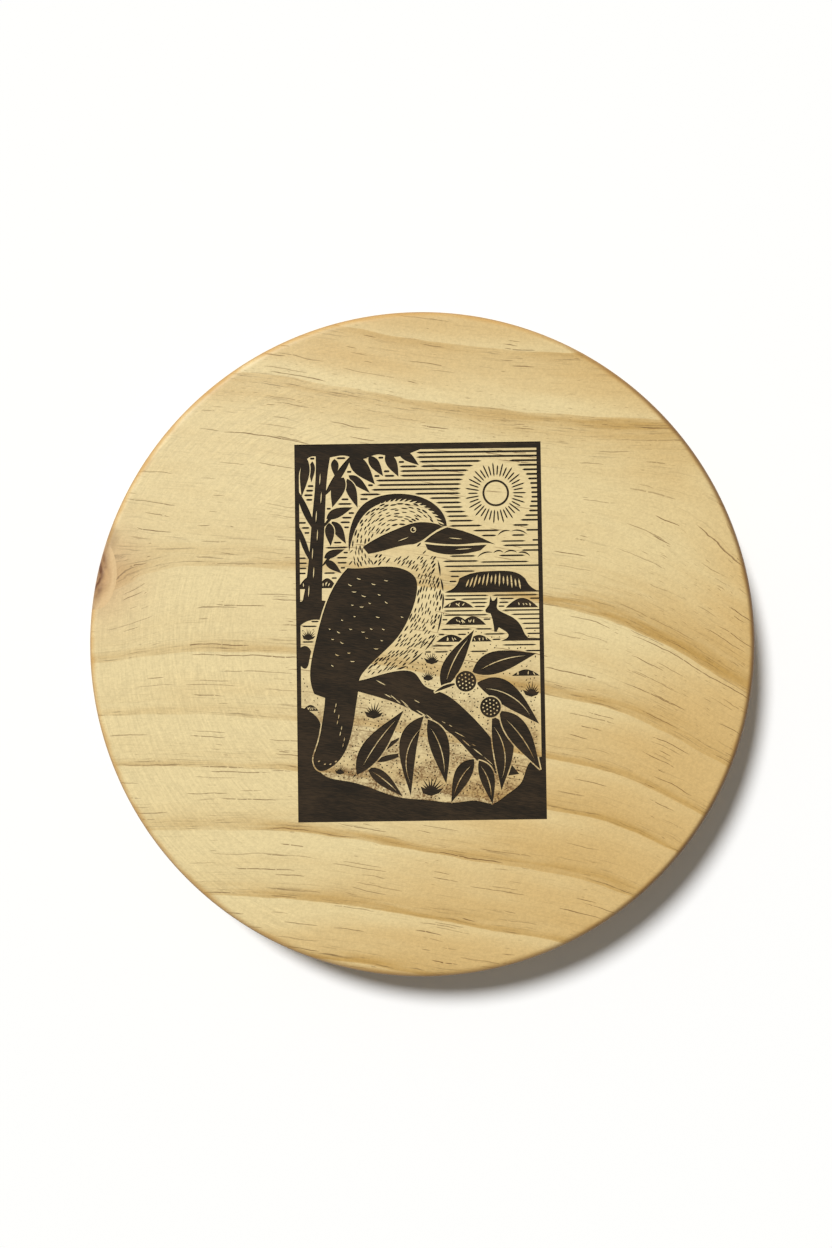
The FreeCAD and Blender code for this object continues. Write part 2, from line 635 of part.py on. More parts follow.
def rounded_board():
    """The turned blank: a disc with both edges rounded over."""
    radius, top, r = board_diameter / 2, board_thickness, edge_round
    k = r * math.cos(math.pi / 4)
    section = [
        Part.LineSegment(V(0, 0, 0), V(radius - r, 0, 0)).toShape(),
        Part.Arc(V(radius - r, 0, 0), V(radius - r + k, 0, r - k), V(radius, 0, r)).toShape(),
        Part.LineSegment(V(radius, 0, r), V(radius, 0, top - r)).toShape(),
        Part.Arc(V(radius, 0, top - r), V(radius - r + k, 0, top - r + k), V(radius - r, 0, top)).toShape(),
        Part.LineSegment(V(radius - r, 0, top), V(0, 0, top)).toShape(),
        Part.LineSegment(V(0, 0, top), V(0, 0, 0)).toShape(),
    ]
    return Part.Face(Part.Wire(section)).revolve(V(0, 0, 0), V(0, 0, 1), 360)


def knot_core():
    """The branch stub that the saw cut across, standing through the board."""
    ellipse = Part.Ellipse(V(0, 0, 0), knot_half_length, knot_half_width)
    core = Part.Face(Part.Wire(ellipse.toShape())).extrude(V(0, 0, board_thickness + 2))
    core.rotate(V(0, 0, 0), V(0, 0, 1), 90)
    core.translate(V(knot_x, knot_y, -1))
    return core


def save(shape, node):
    shape.exportStep("parts/" + node + ".step")
    print(node, len(shape.Solids), "solids,", round(shape.Volume, 1), "mm3, valid", shape.isValid())


def main():
    os.makedirs("parts", exist_ok=True)
    floor = V(panel_x, panel_y, board_thickness - engrave_depth)
    on_board = FreeCAD.Placement(floor, FreeCAD.Rotation(V(0, 0, 1), panel_turn)).toMatrix()
    cuts = []
    for node, faces in picture().items():
        skins = []
        for face in faces:
            skins.append(face.extrude(V(0, 0, char_thickness)).transformed(on_board))
            cuts.append(face.extrude(V(0, 0, engrave_depth * 2)).transformed(on_board))
        save(Part.makeCompound(skins), node)
    blank, core = rounded_board(), knot_core()
    save(blank.common(core), "edge_knot")
    save(blank.cut([core] + cuts), "board")


main()
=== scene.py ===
# %% [markdown]
# # A round pine board with a laser-burnt picture
# The object is one turned disc of solid pine. A laser has burnt a woodcut picture into its face:
# every dark shape is a shallow cut whose floor is covered with a skin of char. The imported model
# gives the true sizes, so this script starts by loading it and never moves it.

# %% Load the frame
import math

import bpy
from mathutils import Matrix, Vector


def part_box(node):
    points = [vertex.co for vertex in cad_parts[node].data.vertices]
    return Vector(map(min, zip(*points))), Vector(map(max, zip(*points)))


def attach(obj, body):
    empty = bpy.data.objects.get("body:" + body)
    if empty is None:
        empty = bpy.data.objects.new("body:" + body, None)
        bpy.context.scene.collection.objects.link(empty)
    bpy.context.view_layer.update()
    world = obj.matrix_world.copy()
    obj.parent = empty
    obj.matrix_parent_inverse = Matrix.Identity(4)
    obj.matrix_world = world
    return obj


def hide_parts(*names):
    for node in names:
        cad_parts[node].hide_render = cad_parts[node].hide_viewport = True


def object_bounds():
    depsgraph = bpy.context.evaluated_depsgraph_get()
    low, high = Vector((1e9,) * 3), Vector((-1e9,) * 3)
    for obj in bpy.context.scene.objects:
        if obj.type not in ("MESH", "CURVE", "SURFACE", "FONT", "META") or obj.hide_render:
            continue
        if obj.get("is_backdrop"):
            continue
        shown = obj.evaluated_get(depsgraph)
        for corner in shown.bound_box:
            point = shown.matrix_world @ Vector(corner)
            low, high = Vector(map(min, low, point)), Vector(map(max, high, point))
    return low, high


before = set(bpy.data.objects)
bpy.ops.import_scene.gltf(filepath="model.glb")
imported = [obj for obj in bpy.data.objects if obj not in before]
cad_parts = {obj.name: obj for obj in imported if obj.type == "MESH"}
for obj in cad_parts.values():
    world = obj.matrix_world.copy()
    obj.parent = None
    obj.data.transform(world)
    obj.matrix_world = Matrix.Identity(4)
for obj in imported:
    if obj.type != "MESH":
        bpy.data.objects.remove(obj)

cad_low, cad_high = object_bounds()
board_low, board_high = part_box("board")
radius = (board_high.x - board_low.x) / 2
top = board_high.z
MM = 0.001
print("board radius", round(radius / MM, 1), "mm, thickness", round((top - board_low.z) / MM, 1), "mm")

# %% [markdown]
# ## The camera
# The board is seen from straight above, from the height of a hand-held camera, leaning very
# slightly towards its lower edge. That small lean is what makes the lower edge of the picture a
# little wider than its upper edge. A lens with real perspective is used, because an orthographic
# camera would make both edges the same and lose the roundness of the near edge.

# %% Place the camera
camera_data = bpy.data.cameras.new("overhead_camera")
camera = bpy.data.objects.new("overhead_camera", camera_data)
bpy.context.scene.collection.objects.link(camera)
camera_data.lens = 28.95
camera_data.clip_start = 0.01
aim = Vector((-1.9 * MM, 5.2 * MM, top))
camera_height = 300 * MM
lean = math.radians(1.5)
camera.location = aim + camera_height * Vector((0, -math.tan(lean), 1))
camera.rotation_euler = (lean, 0, 0)
bpy.context.scene.camera = camera
print("camera stands", [round(c / MM) for c in camera.location], "mm from the board's middle")

# %% [markdown]
# ## The floor
# The board lies on a plain white table. A big plane with a matt, nearly white paint does for it.

# %% Lay the floor
bpy.ops.object.select_all(action="DESELECT")
floor_width = 6
bpy.ops.mesh.primitive_plane_add(size=floor_width, location=(0, 0, 0))
floor = bpy.context.object
floor.name = "white_floor"
floor_paint = bpy.data.materials.new("white_floor_paint")
floor_paint.use_nodes = True
floor_shader = floor_paint.node_tree.nodes["Principled BSDF"]
floor_shader.inputs["Base Color"].default_value = (0.91, 0.91, 0.91, 1)
floor_shader.inputs["Roughness"].default_value = 0.9
floor_shader.inputs["Specular IOR Level"].default_value = 0.1
floor.data.materials.append(floor_paint)
floor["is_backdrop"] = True
print("floor laid,", floor_width, "m wide")

# %% [markdown]
# ## The light
# One soft lamp far away at the upper left throws the shadow that shows how thick the board is; a
# pale sky fills the shadow so that it stays grey instead of black. A sun lamp is used because its
# rays are parallel, so the shadow is as wide on the far side of the board as on the near side.
# Its angle sets how soft the shadow's edge is.

# %% Hang the lamp and the sky
key_data = bpy.data.lights.new("soft_key", "SUN")
key = bpy.data.objects.new("soft_key", key_data)
bpy.context.scene.collection.objects.link(key)
key_data.energy = 3.9
key_data.angle = math.radians(14)
key_data.color = (0.985, 0.995, 1.0)
key_elevation = math.radians(48)
flat = math.cos(key_elevation)
towards_key = Vector((-0.6 * flat, 0.8 * flat, math.sin(key_elevation)))
key.rotation_euler = towards_key.to_track_quat("Z", "Y").to_euler()

sky = bpy.data.worlds.new("pale_studio")
bpy.context.scene.world = sky
sky.use_nodes = True
sky.node_tree.nodes["Background"].inputs["Color"].default_value = (1.0, 0.94, 0.83, 1)
sky.node_tree.nodes["Background"].inputs["Strength"].default_value = 0.19
bpy.context.scene.view_settings.view_transform = "Standard"
print("lamp hung", round(math.degrees(key_elevation)), "degrees up, sky set")

# %% [markdown]
# ## The blank
# On the bench this would be a piece of plank, turned round and then softened along both edges
# with sandpaper. A cylinder with its two rims bevelled gives the same shape. Each flat face then
# gets a narrow inset strip beside the round-over: smooth shading stops there and doesn't spread
# over the flat face.

# %% Turn the blank
round_over = 2.5 * MM
flat_strip = 0.6 * MM
turn_steps = 400


def only(piece):
    """Makes one piece the only selected one, which most operators ask for."""
    bpy.ops.object.select_all(action="DESELECT")
    piece.select_set(True)
    bpy.context.view_layer.objects.active = piece


def pick_faces(piece, test):
    """Selects the faces that pass a test and leaves the piece in edit mode."""
    only(piece)
    bpy.ops.object.mode_set(mode="EDIT")
    bpy.ops.mesh.select_mode(type="FACE")
    bpy.ops.mesh.select_all(action="DESELECT")
    bpy.ops.object.mode_set(mode="OBJECT")
    for face in piece.data.polygons:
        face.select = test(face)
    bpy.ops.object.mode_set(mode="EDIT")


def cut(piece, tool, operation):
    """Keeps or removes what a piece shares with a tool."""
    only(piece)
    change = piece.modifiers.new("cut", "BOOLEAN")
    change.object = tool
    change.operation = operation
    change.solver = "EXACT"
    bpy.ops.object.modifier_apply(modifier=change.name)


bpy.ops.object.select_all(action="DESELECT")
middle = (0, 0, top / 2)
bpy.ops.mesh.primitive_cylinder_add(vertices=turn_steps, radius=radius, depth=top, location=middle)
board = bpy.context.object
board.name = "pine_board"
bpy.ops.object.transform_apply(location=True)
pick_faces(board, lambda face: abs(face.normal.z) > 0.9)
bpy.ops.mesh.bevel(offset=round_over, segments=8, affect="EDGES", profile=0.5)
bpy.ops.object.mode_set(mode="OBJECT")
pick_faces(board, lambda face: len(face.vertices) == turn_steps)
bpy.ops.mesh.inset(thickness=flat_strip, use_individual=True)
bpy.ops.object.mode_set(mode="OBJECT")
print("blank turned:", len(board.data.polygons), "faces")

# %% [markdown]
# ## The knot
# A knot is the stub of a branch, and its wood is a separate thing grown into the board: harder,
# redder, with rings of its own. The rim happens to cut through this one. A copy of the blank is
# kept where the branch was and the rest of the blank loses the same volume, so the two pieces fit
# each other exactly and share the rounded edge.

# %% Part the knot from the blank
knot_x, knot_y = -98 * MM, 20.5 * MM
knot_half_width, knot_half_length = 6.5 * MM, 11 * MM
bpy.ops.object.select_all(action="DESELECT")
middle = (knot_x, knot_y, top / 2)
bpy.ops.mesh.primitive_cylinder_add(vertices=96, radius=1, depth=30 * MM, location=middle)
core = bpy.context.object
core.scale = (knot_half_width, knot_half_length, 1)
bpy.ops.object.transform_apply(location=True, scale=True)
knot = board.copy()
knot.data = board.data.copy()
knot.name = "rim_knot"
bpy.context.scene.collection.objects.link(knot)
cut(knot, core, "INTERSECT")
cut(board, core, "DIFFERENCE")
bpy.data.objects.remove(core)
print("knot parted:", len(knot.data.polygons), "faces; board:", len(board.data.polygons), "faces")

# %% [markdown]
# ## The engraved field
# The laser's cuts are the CAD's own, because they must match the char skins that lie in them to a
# hundredth of a millimetre. A copy of the CAD board is trimmed to a rectangle just outside the
# picture, keeping only the face and the cuts. It then takes the place of the blank's flat top:
# the blank loses that one face, the two meshes are joined, and the open ring between them is
# filled. Cutting hundreds of pockets with a boolean would give the same surface far more slowly.

# %% Let the cuts into the face
picture_x, picture_y = -0.7 * MM, 3.1 * MM
field_half_width, field_half_height = 38.2 * MM, 57.7 * MM
field_floor = top - 0.6 * MM  # just under the floors of the cuts
only_top_is_larger = 0.02  # square metres
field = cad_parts["board"].copy()
field.data = field.data.copy()
field.parent = None
field.name = "engraved_field"
bpy.context.scene.collection.objects.link(field)
only(field)
bpy.ops.object.mode_set(mode="EDIT")
bpy.ops.mesh.select_all(action="SELECT")
bpy.ops.mesh.customdata_custom_splitnormals_clear()
bpy.ops.mesh.remove_doubles(threshold=1e-7)
for side in (1, -1):
    right_or_left = (picture_x + side * field_half_width, 0, 0)
    above_or_below = (0, picture_y + side * field_half_height, 0)
    for where, facing in ((right_or_left, (side, 0, 0)), (above_or_below, (0, side, 0))):
        bpy.ops.mesh.select_all(action="SELECT")
        bpy.ops.mesh.bisect(plane_co=where, plane_no=facing, clear_outer=True)
bpy.ops.object.mode_set(mode="OBJECT")
pick_faces(field, lambda face: face.center.z < field_floor)
bpy.ops.mesh.delete(type="FACE")
bpy.ops.object.mode_set(mode="OBJECT")
field_faces = len(field.data.polygons)
pick_faces(board, lambda face: face.normal.z > 0.99 and face.area > only_top_is_larger)
bpy.ops.mesh.delete(type="ONLY_FACE")
bpy.ops.object.mode_set(mode="OBJECT")
only(board)
field.select_set(True)
bpy.ops.object.join()
bpy.ops.object.mode_set(mode="EDIT")
bpy.ops.mesh.select_mode(type="EDGE")
bpy.ops.mesh.select_all(action="DESELECT")
bpy.ops.mesh.select_non_manifold()
bpy.ops.mesh.fill()
bpy.ops.mesh.select_all(action="SELECT")
bpy.ops.mesh.normals_make_consistent(inside=False)
bpy.ops.object.mode_set(mode="OBJECT")
print("field of", field_faces, "faces let in; board now has", len(board.data.polygons))

# %% [markdown]
# ## Smooth shading
# The round-over is sanded smooth, so its narrow faces have to shade as one curve. The walls of the
# cuts meet the face at a right angle and have to stay crisp. Smoothing by angle does both at once.

# %% Shade the turned faces smooth
for piece in (board, knot):
    only(piece)
    bpy.ops.object.shade_smooth_by_angle(angle=math.radians(25))
print("round-over shaded smooth, cuts left crisp")

# %% [markdown]
# ## Small tools for materials
# A wood finish takes a few dozen nodes. These short helpers add one or two nodes each and return
# the socket that comes out, so that a material reads like a list of sums instead of a drawing.

# %% Node helpers
def put(tree, kind, inputs=None, **settings):
    """Adds a node, sets its properties, then links or sets its inputs by name or number."""
    made = tree.nodes.new("ShaderNode" + kind)
    for name, value in settings.items():
        setattr(made, name, value)
    feed(tree, made, inputs)
    return made


def feed(tree, made, inputs):
    for name, value in (inputs or {}).items():
        if isinstance(value, bpy.types.NodeSocket):
            tree.links.new(value, made.inputs[name])
        else:
            made.inputs[name].default_value = value


def calc(tree, operation, *values):
    return put(tree, "Math", dict(enumerate(values)), operation=operation).outputs[0]


def add(tree, first, *others):
    for other in others:
        first = calc(tree, "ADD", first, other)
    return first


def times(tree, first, *others):
    for other in others:
        first = calc(tree, "MULTIPLY", first, other)
    return first


def minus(tree, first, second):
    return calc(tree, "SUBTRACT", first, second)


def distance(tree, across, up):
    return calc(tree, "SQRT", add(tree, times(tree, across, across), times(tree, up, up)))


def between(tree, value, low, high):
    """A mask that rises smoothly from 0 at low to 1 at high; low may be the larger of the two."""
    ends = {"Value": value, "From Min": low, "From Max": high}
    return put(tree, "MapRange", ends, interpolation_type="SMOOTHSTEP").outputs[0]


def from_to(tree, start, share, gain):
    """A start value plus a share of a gain."""
    return add(tree, start, times(tree, share, gain))


def fade(tree, share, first, second, mode="MIX"):
    """Mixes two colours by a share."""
    mixed = put(tree, "Mix", {0: share, 6: first, 7: second}, data_type="RGBA", blend_type=mode)
    return mixed.outputs[2]


def shaded(tree, colour, value):
    """A colour multiplied by one value in all three channels."""
    grey = put(tree, "CombineColor", {0: value, 1: value, 2: value}).outputs[0]
    return fade(tree, 1.0, colour, grey, "MULTIPLY")


def point(tree, x, y, z):
    return put(tree, "CombineXYZ", {0: x, 1: y, 2: z}).outputs[0]


def split(tree, place):
    return put(tree, "SeparateXYZ", {0: place}).outputs


def millimetres(tree, place):
    scaled = put(tree, "VectorMath", {0: place, 1: (1000, 1000, 1000)}, operation="MULTIPLY")
    return split(tree, scaled.outputs[0])


def noise(tree, place, detail=2.0, roughness=0.5):
    settings = {"Vector": place, "Scale": 1.0, "Detail": detail, "Roughness": roughness}
    return put(tree, "TexNoise", settings).outputs[0]


def lumps(tree, place, sizes, detail=2.0, roughness=0.5):
    """Noise with lumps of the given length along each axis; an axis without a size stays as it is."""
    scaled = [calc(tree, "DIVIDE", value, size) if size else value for value, size in zip(place, sizes)]
    return noise(tree, point(tree, *scaled), detail, roughness)


def graph(tree, value, points, reach):
    """A curve through listed points; what comes out runs up to reach at most."""
    low, high = min(x for x, y in points), max(x for x, y in points)
    share = calc(tree, "DIVIDE", minus(tree, value, low), high - low)
    made = put(tree, "FloatCurve", {"Value": share})
    line = made.mapping.curves[0]
    for number, (x, y) in enumerate(points):
        spot = line.points[number] if number < 2 else line.points.new(0.5, 0.5)
        spot.location = ((x - low) / (high - low), y / reach)
    made.mapping.update()
    return times(tree, made.outputs[0], reach)


def group(name, inputs, outputs):
    """Starts a node group from its labels, and returns it with the nodes for what goes in and out."""
    tree = bpy.data.node_groups.new(name, "ShaderNodeTree")
    for label, kind, start in inputs:
        made = tree.interface.new_socket(label, in_out="INPUT", socket_type="NodeSocket" + kind)
        if start is not None:
            made.default_value = start
    for label, kind in outputs:
        tree.interface.new_socket(label, in_out="OUTPUT", socket_type="NodeSocket" + kind)
    return tree, tree.nodes.new("NodeGroupInput"), tree.nodes.new("NodeGroupOutput")


def use(tree, inner, inputs):
    made = tree.nodes.new("ShaderNodeGroup")
    made.node_tree = inner
    feed(tree, made, inputs)
    return made.outputs


def srgb(red, green, blue):
    """A colour in everyday 0 to 255 numbers, turned into the linear light that a shader wants."""
    parts = [c / 255 for c in (red, green, blue)]
    return tuple(p / 12.92 if p <= 0.04045 else ((p + 0.055) / 1.055) ** 2.4 for p in parts) + (1.0,)


def surface(name, paint, shine):
    """A wood-like material: paint gives its colour, roughness and height from the place."""
    made = bpy.data.materials.new(name)
    made.use_nodes = True
    tree = made.node_tree
    shader = tree.nodes["Principled BSDF"]
    shader.inputs["Specular IOR Level"].default_value = shine
    place = put(tree, "TexCoord").outputs["Object"]
    colour, rough, height = paint(tree, place)
    bump = put(tree, "Bump", {"Height": height, "Distance": 0.06 * MM, "Strength": 0.8})
    tree.links.new(colour, shader.inputs["Base Color"])
    tree.links.new(rough, shader.inputs["Roughness"])
    tree.links.new(bump.outputs[0], shader.inputs["Normal"])
    return made


print("helpers ready")

# %% [markdown]
# ## How the tree grew
# Pine grows a pale band in spring and a dark amber one in late summer, ring round ring about the
# pith. A board is a slice through those rings, so the honest way to get its figure is to work out
# the distance from the pith at every point: the same sum then draws the face, the rim and the
# back, and they agree where they meet. The pith runs along the board, 78 mm under the face. The
# fibres lean down to the right and sweep round the knot, so the point is first moved by that much.
# Two curves through listed points say how far the fibres have fallen, one for the lower and one for
# the upper part of the board. All numbers in the materials are millimetres.

# %% The grain field
pith_y, pith_z = 52.0, -60.0
fall_low = [(-100, 0), (100, 39), (-60, 0), (-28, 1.8), (2, 6.3), (40, 12.6), (55, 16), (70, 22), (85, 30)]
fall_high = [(-100, -3), (100, 14.6), (-70, -2), (-50, 0), (-28, 4.4), (-6, 8.2), (17, 11.2), (48, 13.6),
             (70, 14.3)]
ring_edges = [50, 62, 73, 83.4, 95.7, 107.9, 119, 133.6, 150, 164, 180]


def build_grain_field():
    tree, come, go = group("Grain Field", [("Position", "Vector", None)],
                           [("Rings", "Float"), ("Along", "Vector"), ("Knot Reach", "Float")])
    x, y, z = millimetres(tree, come.outputs[0])
    low, high = graph(tree, x, fall_low, 40), graph(tree, x, fall_high, 40)
    share = between(tree, y, 20.0, 60.0)
    fall = add(tree, times(tree, low, minus(tree, 1.0, share)), times(tree, high, share))
    across, up = minus(tree, x, knot_x / MM), minus(tree, y, knot_y / MM)
    far = distance(tree, calc(tree, "DIVIDE", across, 17.0), calc(tree, "DIVIDE", up, 19.0))
    reach = calc(tree, "EXPONENT", times(tree, far, far, -1.0))
    swept = times(tree, minus(tree, 5.0, times(tree, up, 0.7)), reach)
    slow = lumps(tree, (x, y, z), (62.0, 30.0, 60.0))
    quick = lumps(tree, (x, y, z), (13.0, 4.0, 9.0), 3.0)
    wander = add(tree, times(tree, minus(tree, slow, 0.5), 3.6), times(tree, minus(tree, quick, 0.5), 1.5))
    level = add(tree, y, fall, swept, wander)
    radial = distance(tree, minus(tree, level, pith_y), minus(tree, z, pith_z))
    wider = times(tree, calc(tree, "MAXIMUM", minus(tree, level, 83.0), 0.0), 0.25)
    numbered = [(edge, number) for number, edge in enumerate(ring_edges)]
    rings = graph(tree, add(tree, radial, wider), numbered, len(ring_edges) - 1)
    tree.links.new(rings, go.inputs["Rings"])
    tree.links.new(point(tree, x, level, z), go.inputs["Along"])
    tree.links.new(reach, go.inputs["Knot Reach"])
    return tree


grain_field = build_grain_field()
print("grain field built:", len(grain_field.nodes), "nodes")

# %% [markdown]
# ## Resin dashes
# Radiata pine is full of resin canals. Where the saw cuts one lengthwise it shows as a thin brown
# dash, a fifth of a millimetre wide and a few millimetres long, always along the grain. Each
# Voronoi cell, stretched along the grain, holds one dash at its middle; the cell's own random
# colour says whether there is a dash there, how long it is and how dark. The dash thins out
# towards both ends, where the canal dives into the wood.

# %% The dash group
def build_dashes():
    tree, come, go = group(
        "Resin Dashes",
        [("Along", "Vector", None), ("Cell Length", "Float", 22.0), ("Cell Height", "Float", 1.5),
         ("Longest", "Float", 16.0), ("Width", "Float", 0.2), ("Share", "Float", 0.4)],
        [("Dash", "Float")])
    give = come.outputs
    x, level, z = split(tree, give["Along"])
    shaky = lumps(tree, (x, level, 0.0), (5.0, 5.0, None))
    level = add(tree, level, times(tree, minus(tree, shaky, 0.5), 0.5))
    u = calc(tree, "DIVIDE", x, give["Cell Length"])
    v = calc(tree, "DIVIDE", level, give["Cell Height"])
    w = calc(tree, "DIVIDE", z, 4.0)
    cell = put(tree, "TexVoronoi", {"Vector": point(tree, u, v, w), "Scale": 1.0})
    cell_u, cell_v, _ = split(tree, cell.outputs["Position"])
    chance, size, tone = put(tree, "SeparateColor", {0: cell.outputs["Color"]}).outputs
    off_along = times(tree, calc(tree, "ABSOLUTE", minus(tree, u, cell_u)), give["Cell Length"])
    off_across = times(tree, calc(tree, "ABSOLUTE", minus(tree, v, cell_v)), give["Cell Height"])
    half = times(tree, calc(tree, "POWER", size, 2.2), calc(tree, "DIVIDE", give["Longest"], 2))
    half = add(tree, half, 0.5)
    inside = minus(tree, 1.0, between(tree, minus(tree, off_along, half), -0.6, 0.2))
    taper = from_to(tree, 0.35, between(tree, minus(tree, half, off_along), -0.3, 2.5), 0.65)
    half_width = times(tree, calc(tree, "DIVIDE", give["Width"], 2), taper)
    thin = minus(tree, 1.0, between(tree, minus(tree, off_across, half_width), -0.05, 0.07))
    there = calc(tree, "LESS_THAN", chance, give["Share"])
    gaps = between(tree, noise(tree, point(tree, times(tree, x, 0.7), cell_v, 0.0), 1.0), 0.26, 0.4)
    mark = times(tree, inside, thin, times(tree, there, gaps), from_to(tree, 0.45, tone, 0.55))
    tree.links.new(mark, go.inputs["Dash"])
    return tree


resin_dashes = build_dashes()
print("dashes built:", len(resin_dashes.nodes), "nodes")

# %% [markdown]
# ## Sanding marks
# The face was sanded by machine and finished by hand, which left faint arcs across the grain.
# Distance and bearing from a centre turn a noise into arcs about it. A second, slow noise lets
# them come and go, and they fade out on the right half of the board.

# %% The sanding group
def build_sanding():
    tree, come, go = group(
        "Sanding Marks",
        [("Position", "Vector", None), ("Centre X", "Float", -0.008), ("Centre Y", "Float", 0.0)],
        [("Scratch", "Float")])
    x, y, _ = split(tree, come.outputs["Position"])
    across, up = minus(tree, x, come.outputs["Centre X"]), minus(tree, y, come.outputs["Centre Y"])
    bearing = calc(tree, "ARCTAN2", up, times(tree, across, -1.0))
    arcs = point(tree, times(tree, distance(tree, across, up), 1500.0), times(tree, bearing, 9.0), 0.0)
    where = noise(tree, point(tree, times(tree, x, 22.0), times(tree, y, 22.0), 3.7), 1.0)
    seen = times(tree, between(tree, where, 0.3, 0.6), between(tree, x, 0.02, -0.04))
    marks = times(tree, minus(tree, noise(tree, arcs, 2.0, 0.6), 0.5), 3.0)
    tree.links.new(times(tree, marks, add(tree, 0.2, seen)), go.inputs["Scratch"])
    return tree


sanding_marks = build_sanding()
print("sanding marks built:", len(sanding_marks.nodes), "nodes")

# %% [markdown]
# ## The pine itself
# The colour is laid on in the order in which the wood got it. First pale straw, warmer towards the
# top, and a darker honey towards the lower right, which is painted shade. Then the late bands,
# which darken slowly and end sharply at each ring edge. Then fibres, a fine speckle and the resin
# dashes. The rim soaks up more oil where its pores are open, so it turns amber. The brown on its
# right side is painted shade, and a thin dark line all round its edge is partly oiled end grain and
# partly painted shade over the lit round-over. Last comes the laser: soot clings to the wood
# between the leaves, and the walls of the cuts are scorched. The same values drive the roughness
# and a shallow bump.

# %% Pine
straw = srgb(222, 202, 151)
honey_and_shade = srgb(206, 174, 115)
late_amber = srgb(182, 144, 76)
resin_brown = srgb(104, 68, 28)
rim_amber = srgb(188, 142, 74)
# This brown is the real smudge above the knot, and also the painted shade on the rim's edge.
rim_brown_and_shade = srgb(112, 76, 38)
knot_blush = srgb(188, 142, 98)
scorch = srgb(92, 66, 40)
soot_brown = srgb(112, 78, 40)
late_curve = [(0, 0.1), (1, 0.1), (0.06, 0.0), (0.45, 0.06), (0.72, 0.26), (0.88, 0.7), (0.96, 1),
              (0.985, 0.8)]
edge_at, face_at = radius / MM, top / MM


def warmth_and_shade(tree, x, y, turn, patches):
    """How far the plain wood has gone from straw to honey: its own tone towards the top and in patches,
    painted shade towards the lower right.
    """
    # Painted shade: the wood turns darker and warmer towards the lower right and the right. The top and the
    # patches are its own tone.
    lower_right_shade = between(tree, minus(tree, times(tree, x, 0.6), times(tree, y, 0.8)), 12.0, 82.0)
    upper = between(tree, add(tree, y, times(tree, x, 0.1)), 50.0, 95.0)
    right_shade = between(tree, x, 20.0, 100.0)
    cloudy = times(tree, minus(tree, patches, 0.5), 0.9)
    young = minus(tree, 1.0, between(tree, turn, 0.0, 0.45))
    warm = add(tree, times(tree, lower_right_shade, 0.85), times(tree, upper, 0.7), times(tree, right_shade, 0.35), cloudy)
    return between(tree, minus(tree, warm, times(tree, young, 0.3)), -0.15, 1.1)


def all_dashes(tree, along, x, y, level):
    """Short and long dashes everywhere, and dots where the canals dive into the board."""
    def dashes(length, height, longest, share, width):
        cell = {"Along": along, "Cell Length": length, "Cell Height": height}
        return use(tree, resin_dashes, cell | {"Longest": longest, "Share": share, "Width": width})["Dash"]

    short = dashes(22.0, 1.5, 16.0, 0.4, 0.2)
    long = dashes(64.0, 4.2, 40.0, 0.4, 0.24)
    dots = dashes(3.4, 1.2, 1.6, 0.3, 0.26)
    off_middle = calc(tree, "ABSOLUTE", minus(tree, y, 2.0))
    at_right = between(tree, minus(tree, x, off_middle), 34.0, 60.0)
    near_top = between(tree, calc(tree, "ABSOLUTE", minus(tree, level, 78.0)), 16.0, 4.0)
    diving = calc(tree, "MAXIMUM", at_right, times(tree, near_top, 0.9))
    return calc(tree, "MAXIMUM", calc(tree, "MAXIMUM", short, long), times(tree, dots, diving, 0.7))


def rim_tones_and_shade(tree, x, y, z, patches, uneven):
    """Masks for the amber of the rim, the brown of its edge and the smudge above the knot. The brown is
    painted shade on the right side and partly painted shade all round.
    """
    out = distance(tree, x, y)
    on_face = between(tree, z, face_at - 4.0, face_at - 0.5)
    blot = times(tree, minus(tree, patches, 0.5), 3.0)
    amber = between(tree, add(tree, out, blot), edge_at - 2.6, edge_at - 0.2)
    amber = times(tree, amber, from_to(tree, 0.35, on_face, 0.45))
    smudge = distance(tree, calc(tree, "DIVIDE", add(tree, x, 94.0), 3.4),
                      calc(tree, "DIVIDE", minus(tree, y, 31.5), 4.6))
    smudge = add(tree, times(tree, smudge, smudge), times(tree, uneven, 1.6))
    smudge = times(tree, between(tree, smudge, 2.0, 0.5), 0.45)
    # Painted shade: the rim's right side is browned as if in shade. The thin dark line all round is partly
    # oiled end grain and partly painted shade over the lit round-over.
    at_right = times(tree, between(tree, out, edge_at - 2.4, edge_at - 0.8), between(tree, x, 20.0, 80.0))
    dark_rim_and_shade = times(tree, between(tree, out, edge_at - 1.1, edge_at - 0.2), 0.65)
    brown = calc(tree, "MAXIMUM", at_right, dark_rim_and_shade)
    return out, amber, smudge, times(tree, brown, from_to(tree, 0.12, on_face, 0.68))


def soot_on_wood(tree, x, y):
    """A stippled brown haze on the bare wood in the lower part of the picture."""
    off_x = calc(tree, "ABSOLUTE", minus(tree, x, picture_x / MM))
    off_y = calc(tree, "ABSOLUTE", minus(tree, y, picture_y / MM))
    inside = times(tree, between(tree, off_x, 36.5, 34.0), between(tree, off_y, 56.0, 53.0))
    low = between(tree, y, 4.0, -44.0)
    cloud = between(tree, lumps(tree, (x, y, 1.7), (5.0, 4.0, None)), 0.34, 0.6)
    stipple = between(tree, lumps(tree, (x, y, 5.2), (0.7, 0.6, None), 3.0, 0.7), 0.4, 0.6)
    haze = times(tree, inside, low, from_to(tree, 0.25, cloud, 0.75))
    return times(tree, haze, from_to(tree, 0.3, stipple, 0.7), 0.95)


